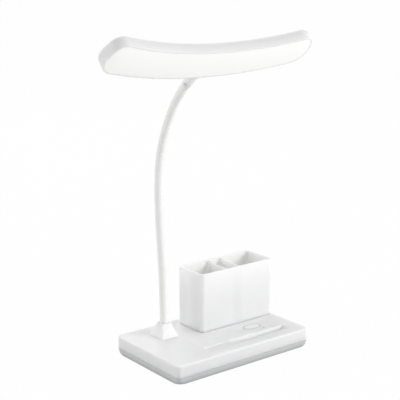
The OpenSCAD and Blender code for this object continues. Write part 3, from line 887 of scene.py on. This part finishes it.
def cut_holes(cover, roof):
    """Cuts the holes for the arm, the light pipe, the charging socket and the touch mark."""
    s = sizes()
    low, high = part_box("base_cover")
    play = 0.1 * MM
    arm_hole_depth = 6.7 * MM
    spot = middle("arm_ferrule")
    cut_away(cover, rod("bore", spot.x, spot.y, s.sleeve_radius + play, high.z - arm_hole_depth, high.z + MM))
    light_radius = 1.05 * MM
    spot = middle("status_light")
    cut_away(cover, rod("light_hole", spot.x, spot.y, light_radius, roof - s.cover_roof - MM, roof + MM, 24))
    mouth_low, mouth_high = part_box("charge_socket")
    gap = Vector((play, 0, play))
    window = block("window", mouth_low - gap, Vector((mouth_high.x, high.y + MM, mouth_high.z)) + gap)
    bevel_edges(window, lambda edge: stretch(edge, 1) > MM, 1.2 * MM, 6)
    cut_away(cover, window)
    mark_depth = 0.2 * MM
    spot = middle("touch_mark")
    recess = rod("recess", spot.x, spot.y, 0.5, roof - mark_depth, roof + MM, 64)
    edit(recess)
    bpy.ops.mesh.select_all(action="SELECT")
    bpy.ops.transform.resize(
        value=(span("touch_mark", 0) + play, span("touch_mark", 1) + play, 1), center_override=tuple(spot)
    )
    leave()
    cut_away(cover, recess)


class LAMP_OT_cover(bpy.types.Operator):
    """Models the white cover with the phone slot, the arm's foot and the pot's seat."""

    bl_idname = "lamp.cover"
    bl_label = "Cover"

    def execute(self, context):
        s = sizes()
        low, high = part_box("base_cover")
        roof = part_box("touch_mark")[1].z
        wall = Vector((s.cover_wall, s.cover_wall, 0))
        cover = block("cover_shell", low, (high.x, high.y, roof), s.base_corner, 12)
        bevel_edges(cover, edge_at(roof), s.cover_edge, 5)
        cut_away(cover, block(
            "inside", low + wall - Vector((0, 0, MM)), Vector((high.x, high.y, roof - s.cover_roof)) - wall,
            s.base_corner - s.cover_wall, 10,
        ))
        add_trough(cover, roof)
        join_on(cover, arm_foot(roof, high.z))
        cut_slot(cover, roof)
        add_pot_seat(cover, roof)
        cut_holes(cover, roof)
        soften(cover, 0.25 * MM)
        tidy_mesh(cover)
        dress(cover, "cover_shell", white_plastic())
        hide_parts("base_cover")
        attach(cover, "base")
        return {"FINISHED"}


class LAMP_OT_tub(bpy.types.Operator):
    """Finishes the silver-grey tub, whose form the frame already has."""

    bl_idname = "lamp.tub"
    bl_label = "Tub"

    def execute(self, context):
        tub = smooth_copy("base_tub", "tub_shell")
        dress(tub, "tub_shell", silver_plastic("silver_plastic", colours().tub))
        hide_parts("base_tub")
        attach(tub, "base")
        return {"FINISHED"}


class LAMP_OT_pot(bpy.types.Operator):
    """Models the pen pot with its three compartments."""

    bl_idname = "lamp.pot"
    bl_label = "Pen pot"

    def execute(self, context):
        s = sizes()
        low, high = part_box("pen_pot")
        pot = block("pot_shell", low, high, s.pot_corner, 10)
        width, depth = high.x - low.x, high.y - low.y
        edit(pot)
        pick("verts", lambda vert: abs(vert.co.z - low.z) < LEVEL)
        bpy.ops.transform.resize(
            value=(1 - 2 * s.pot_draft / width, 1 - 2 * s.pot_draft / depth, 1),
            center_override=tuple((low + high) / 2),
        )
        leave()
        self.hollow(pot, low, high)
        wall = s.pot_wall + s.pot_draft
        seat = Vector((wall, wall, 0))
        seat_depth = 2.3 * MM
        cut_away(pot, block(
            "seat", low + seat - Vector((0, 0, MM)), Vector((high.x, high.y, low.z + seat_depth)) - seat,
            s.pot_corner - wall, 6,
        ))
        sharp, above = math.radians(35), low.z + 3 * MM
        bevel_edges(
            pot, lambda edge: edge.calc_face_angle(0) > sharp and max(v.co.z for v in edge.verts) > above,
            0.45 * MM, 3,
        )
        tidy_mesh(pot)
        dress(pot, "pot_shell", pot_plastic())
        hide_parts("pen_pot")
        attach(pot, "pen_pot")
        return {"FINISHED"}

    def hollow(self, pot, low, high):
        """Cuts the three compartments and the open mouth over their dividers."""
        s = sizes()
        wall, floor = s.pot_wall + s.pot_draft, 4.8 * MM
        inner_low = Vector((low.x + wall, low.y + wall, low.z + floor))
        inner_high = Vector((high.x - wall, high.y - wall, high.z + MM))
        corner = s.pot_corner - s.pot_wall
        centre = (low.x + high.x) / 2
        half = s.pot_middle / 2
        for left, right in (
            (inner_low.x, centre - half - s.divider),
            (centre - half, centre + half),
            (centre + half + s.divider, inner_high.x),
        ):
            cell = block(
                "cell", (left, inner_low.y, inner_low.z), (right, inner_high.y, inner_high.z), corner, 8
            )
            bevel_edges(cell, edge_at(inner_low.z), 1.2 * MM, 3)
            cut_away(pot, cell)
        cut_away(pot, block(
            "mouth", (inner_low.x, inner_low.y, high.z - s.divider_drop), inner_high, corner, 8
        ))


def sleeve_length(pivot, lean, below, above, straight):
    """A sleeve tube through a pivot, swept from its ring there both ways.

    below and above are each a length and the arm's turn over it, and straight is a straight run below."""
    ring = 1.2 * MM  # from one ring of the tube to the next
    deselect()
    bpy.ops.mesh.primitive_circle_add(
        vertices=48, radius=sizes().sleeve_radius, fill_type="NOTHING", location=pivot, rotation=(lean, 0, 0)
    )
    tube = bpy.context.object
    settle(tube)
    along = along_arm(lean)
    ahead = Vector((0, -math.cos(lean), -math.sin(lean)))
    at_pivot = lambda vert: abs((vert.co - pivot).dot(along)) < LEVEL
    edit(tube)
    # mesh.spin turns the other way round
    for (length, turn), way in ((above, -1), (below, 1)):
        if length <= 0:
            continue
        pick("verts", at_pivot)
        bpy.ops.mesh.spin(
            steps=max(4, round(length / ring)),
            angle=way * turn,
            center=pivot + ahead * (length / turn),
            axis=(1, 0, 0),
        )
    if straight > 0:
        pick("verts", at_pivot)
        steps = max(2, round(straight / ring))
        step = tuple(-along * (straight / steps))
        for _ in range(steps):
            bpy.ops.mesh.extrude_region_move(TRANSFORM_OT_translate={"value": step})
    pick("edges", lambda edge: edge.is_boundary)
    bpy.ops.mesh.edge_face_add()
    leave()
    tidy_mesh(tube, 40)
    return tube


class LAMP_OT_sleeve(bpy.types.Operator):
    """Sweeps the arm's sleeve: one length through each pivot."""

    bl_idname = "lamp.sleeve"
    bl_label = "Arm sleeve"

    def execute(self, context):
        s = sizes()
        places, leans = pivots()
        last = len(places) - 1
        turns = [high - low for low, high in zip(leans, leans[1:] + [HEAD_TILT])]
        half = s.link_length / 2
        chain = ["base", *[f"arm_link_{k}" for k in range(1, LINKS)], "head"]
        for k, (pivot, lean) in enumerate(zip(places, leans)):
            above = (half, turns[k] / 2) if k < last else (s.link_length, turns[k])
            below = (half, turns[k - 1] / 2) if k else (0, 0)
            straight = 0 if k else span("arm_sleeve_0", 2)
            tube = sleeve_length(pivot, lean, below, above, straight)
            dress(tube, f"sleeve_{k}", sleeve_material())
            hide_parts(f"arm_sleeve_{k + 1}", *([] if k else ["arm_sleeve_0"]))
            along = along_arm(lean)
            start = pivot - along * (s.blend_reach if k else s.foot_reach)
            end = pivot + along * s.blend_reach
            chain[k + 1]
            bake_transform(tube)
        return {"FINISHED"}


class LAMP_OT_neck(bpy.types.Operator):
    """Models the neck that flares from the arm to the head."""

    bl_idname = "lamp.neck"
    bl_label = "Neck"

    def execute(self, context):
        s = sizes()
        mouth, wide, thick = 5.7 * MM, 8.5 * MM, 5.7 * MM  # half widths at the arm and at the head
        grip = 2 * MM  # how far the neck reaches over the sleeve
        run = s.neck_length + grip
        count, sweep = 16, 2.4
        shares = [(k / count) ** sweep for k in range(count + 1)]
        across = [mouth + (wide - mouth) * share for share in shares]
        deep = [mouth + (thick - mouth) * share for share in shares]
        place = (0, 0, -run)
        deselect()
        bpy.ops.mesh.primitive_circle_add(vertices=64, radius=mouth, fill_type="NGON", location=place)
        neck = bpy.context.object
        settle(neck)
        edit(neck)
        pick("faces", lambda face: True)
        extrude_rings(flare(run / count, across, deep), place)
        leave()
        tidy_mesh(neck, 40)
        bevel_edges(neck, edge_at(-run), 0.45 * MM, 3)
        cut_away(neck, self.screw_hole(mouth))
        neck.matrix_world = head_matrix() @ Matrix.Rotation(math.radians(-90), 4, "X")
        settle(neck)
        tidy_mesh(neck, 40)
        dress(neck, "neck_flare", white_plastic())
        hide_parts("neck_connector")
        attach(neck, "head")
        return {"FINISHED"}

    def screw_hole(self, reach):
        """The set screw's hole, from the neck's own axis."""
        s = sizes()
        deselect()
        bpy.ops.mesh.primitive_cylinder_add(
            vertices=32, radius=s.set_hole, depth=4 * MM, location=(0, -reach, s.set_ahead - s.neck_length),
            rotation=(math.radians(90), 0, 0),
        )
        hole = bpy.context.object
        settle(hole)
        hole.rotation_euler.z = s.set_turn
        settle(hole)
        return hole


def crescent(name, inset, low, high):
    """A flat slab with the head's outline, drawn in by inset, still straight along its length."""
    s = sizes()
    half = s.head_length / 2 - inset
    cuts = 47  # across the slab, so that it can bend
    slab = block(name, (-half, inset, low), (half, s.head_depth - inset, high))
    for y, radius in ((s.head_depth - inset, s.head_front), (inset, s.head_back)):
        bevel_edges(
            slab, lambda edge: upright(edge) and abs(edge.verts[0].co.y - y) < WELD, radius - inset, 14
        )
    edit(slab)
    pick("edges", lambda edge: stretch(edge, 0) > s.head_length / 2)
    bpy.ops.mesh.subdivide(number_cuts=cuts)
    leave()
    return slab


def bend_to_arch(obj):
    """Bends a straight slab so that its back edge follows the head's curve."""
    places = [vert.co.x for vert in obj.data.vertices]
    angle = (max(places) - min(places)) / sizes().head_bend
    modify(obj, "SIMPLE_DEFORM", deform_method="BEND", deform_axis="Z", angle=angle)


class LAMP_OT_head(bpy.types.Operator):
    """Models the head's white housing: a crescent tray with a rounded back."""

    bl_idname = "lamp.head"
    bl_label = "Head housing"

    def execute(self, context):
        s = sizes()
        back, face = -s.head_thick / 2, s.head_thick / 2
        floor = 2 * MM
        tray = crescent("head_shell", 0.0, back, face)
        bevel_edges(tray, edge_at(back), 1.6 * MM, 5)
        edit(tray)
        pick("faces", lambda lit: lit.normal.z > 0.9)
        bpy.ops.mesh.inset(thickness=s.head_wall, use_even_offset=True)
        bpy.ops.mesh.extrude_region_move(TRANSFORM_OT_translate={"value": (0, 0, floor - s.head_thick)})
        leave()
        bend_to_arch(tray)
        soften(tray, 0.3 * MM, angle=50)
        tidy_mesh(tray)
        tray.matrix_world = head_matrix()
        settle(tray)
        dress(tray, "head_shell", white_plastic())
        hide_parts("head_housing")
        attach(tray, "head")
        return {"FINISHED"}


class LAMP_OT_diffuser(bpy.types.Operator):
    """Models the milky diffuser that fills the head's lit side."""

    bl_idname = "lamp.diffuser"
    bl_label = "Diffuser"

    def execute(self, context):
        s, c = sizes(), colours()
        face = s.head_thick / 2
        play, thick = 0.1 * MM, 1.8 * MM
        plate = crescent("diffuser_plate", s.head_wall + play, face - thick, face)
        bevel_edges(plate, edge_at(face), 0.6 * MM, 4)
        bend_to_arch(plate)
        tidy_mesh(plate)
        plate.matrix_world = head_matrix()
        settle(plate)
        dress(plate, "diffuser_plate", milky_diffuser("milky_diffuser", c.diffuser, c.painted_glow))
        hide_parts("diffuser")
        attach(plate, "head")
        return {"FINISHED"}


class LAMP_OT_details(bpy.types.Operator):
    """Gives the small and inner solids their finishes."""

    bl_idname = "lamp.details"
    bl_label = "Details and inner pieces"

    def execute(self, context):
        c = colours()
        steel = brushed_metal("plain_steel", (0.60, 0.61, 0.63))
        brass = brushed_metal("plain_brass", (0.74, 0.56, 0.26), 0.35)
        green = circuit_board("solder_mask", (0.02, 0.10, 0.05))
        lead = soft_sleeve("lead_sheath", (0.70, 0.70, 0.68))
        paint(printed_mark("touch_print", c.ink, c.cover), "touch_mark")
        paint(moulded_plastic("clear_pipe", (0.62, 0.70, 0.68), 0.2, 0.05), "status_light")
        paint(rubber("pad_rubber", (0.035, 0.035, 0.038)), "non_slip_ring")
        paint(rubber("conductive_foam", (0.04, 0.04, 0.045)), "touch_foam")
        paint(brushed_metal("socket_steel", (0.66, 0.67, 0.69), 0.28), "charge_socket")
        paint(moulded_plastic("cell_film", (0.10, 0.15, 0.21), 0.35), "battery_cell")
        paint(moulded_plastic("strip_coat", (0.80, 0.80, 0.78), 0.5), "led_board")
        paint(moulded_plastic("chip_phosphor", (0.90, 0.78, 0.28), 0.4), "led_chips")
        paint(green, "control_board", "charge_board")
        paint(brass, "touch_plate", "ferrule_nut")
        paint(lead, "base_leads", "head_lead", *self.links("arm_lead"))
        paint(
            steel, "base_screws", "weight_plate", "board_screws", "charge_screws", "arm_ferrule", "neck_tube",
            "neck_set_screw", "neck_plate", "neck_screws", "led_board_screws", *self.links("arm_core"),
        )
        return {"FINISHED"}

    def links(self, name):
        """The nodes of that name in the arm's links."""
        return [f"{name}_{k}" for k in range(1, LINKS + 1)]


class LAMP_OT_stage(bpy.types.Operator):
    """Sets up the pale floor, the soft light and the camera."""

    bl_idname = "lamp.stage"
    bl_label = "Stage"

    def execute(self, context):
        settings = context.scene.lamp_stage
        self.floor()
        self.sky(settings.sky)
        self.lamp("key_light", (0.5, -0.75, 0.3), settings.key, 0.8)
        self.lamp("rear_light", (0.3, 1.0, 0.7), settings.rear, 1.6)
        self.lamp("side_light", (-1.0, 0.5, 0.35), settings.side, 1.6)
        camera = bpy.data.cameras.new("camera")
        camera.lens = settings.lens
        camera.sensor_width = 36
        holder = bpy.data.objects.new("camera", camera)
        holder.location = settings.camera_place
        holder.rotation_euler = (math.radians(90) - settings.camera_dip, 0, settings.camera_turn)
        context.scene.collection.objects.link(holder)
        context.scene.camera = holder
        context.scene.view_settings.view_transform = "Standard"
        return {"FINISHED"}

    def floor(self):
        """A wide floor that looks white and still gives off a pale floor's light."""
        deselect()
        bpy.ops.mesh.primitive_plane_add(size=60, location=(0, 0, 0))
        floor = bpy.context.object
        floor.name = "floor"
        g = material_graph("pale_floor")
        seen = g.ray("Is Camera Ray") + g.ray("Is Glossy Ray") + g.ray("Is Transmission Ray")
        plain = g.node("ShaderNodeBsdfDiffuse", None, Color=opaque([0.75] * 3))
        white = g.node("ShaderNodeEmission", None, Color=opaque([1] * 3), Strength=1.0)
        # the rest shows the lamp's shadow
        g.end(g.node("ShaderNodeMixShader", None, seen * 0.98, plain, white))
        floor.data.materials.append(g.owner)

    def sky(self, strength):
        """An even light from all around, which is plain white to the camera."""
        world = bpy.data.worlds.new("sky")
        bpy.context.scene.world = world
        g = Graph(world, "ShaderNodeOutputWorld")
        seen = g.node(
            "ShaderNodeMath", {"operation": "MAXIMUM"}, g.ray("Is Camera Ray"), g.ray("Is Transmission Ray")
        )
        even = g.node("ShaderNodeBackground", None, Color=opaque([1] * 3), Strength=strength)
        white = g.node("ShaderNodeBackground", None, Color=opaque([1] * 3), Strength=1.0)
        g.end(g.node("ShaderNodeMixShader", None, seen, even, white))

    def lamp(self, name, way, power, size):
        """A soft lamp that shines on the middle of the object from the way given."""
        aim, away = Vector((0, 0, 0.18)), 2.2
        way = Vector(way).normalized()
        light = bpy.data.lights.new(name, "AREA")
        light.size = size
        light.energy = power
        holder = bpy.data.objects.new(name, light)
        holder.location = aim + way * away
        holder.rotation_euler = (-way).to_track_quat("-Z", "Y").to_euler()
        bpy.context.scene.collection.objects.link(holder)


class LAMP_PT_panel(bpy.types.Panel):
    """Lists the lamp's pieces and settings in the sidebar."""

    bl_idname = "LAMP_PT_panel"
    bl_label = "Desk lamp"
    bl_space_type = "VIEW_3D"
    bl_region_type = "UI"
    bl_category = "Desk lamp"

    def draw(self, context):
        scene = context.scene
        for group in (scene.lamp_sizes, scene.lamp_colours, scene.lamp_stage):
            column = self.layout.column(align=True)
            for key in type(group).__annotations__:
                column.prop(group, key)
        for operator in OPERATORS:
            self.layout.operator(operator.bl_idname)


GROUPS = {"lamp_sizes": LampSizes, "lamp_colours": LampColours, "lamp_stage": StageSettings}
OPERATORS = (
    LAMP_OT_cover, LAMP_OT_tub, LAMP_OT_pot, LAMP_OT_sleeve, LAMP_OT_neck, LAMP_OT_head, LAMP_OT_diffuser,
    LAMP_OT_details, LAMP_OT_stage,
)


def register():
    for kind in (*GROUPS.values(), *OPERATORS, LAMP_PT_panel):
        bpy.utils.register_class(kind)
    for name, group in GROUPS.items():
        setattr(bpy.types.Scene, name, PointerProperty(type=group))


def unregister():
    for name in GROUPS:
        delattr(bpy.types.Scene, name)
    for kind in (LAMP_PT_panel, *reversed(OPERATORS), *GROUPS.values()):
        bpy.utils.unregister_class(kind)


def main():
    register()
    bpy.ops.lamp.cover()
    bpy.ops.lamp.tub()
    bpy.ops.lamp.pot()
    bpy.ops.lamp.sleeve()
    bpy.ops.lamp.neck()
    bpy.ops.lamp.head()
    bpy.ops.lamp.diffuser()
    bpy.ops.lamp.details()
    bpy.ops.lamp.stage()


if __name__ == "__main__":
    main()
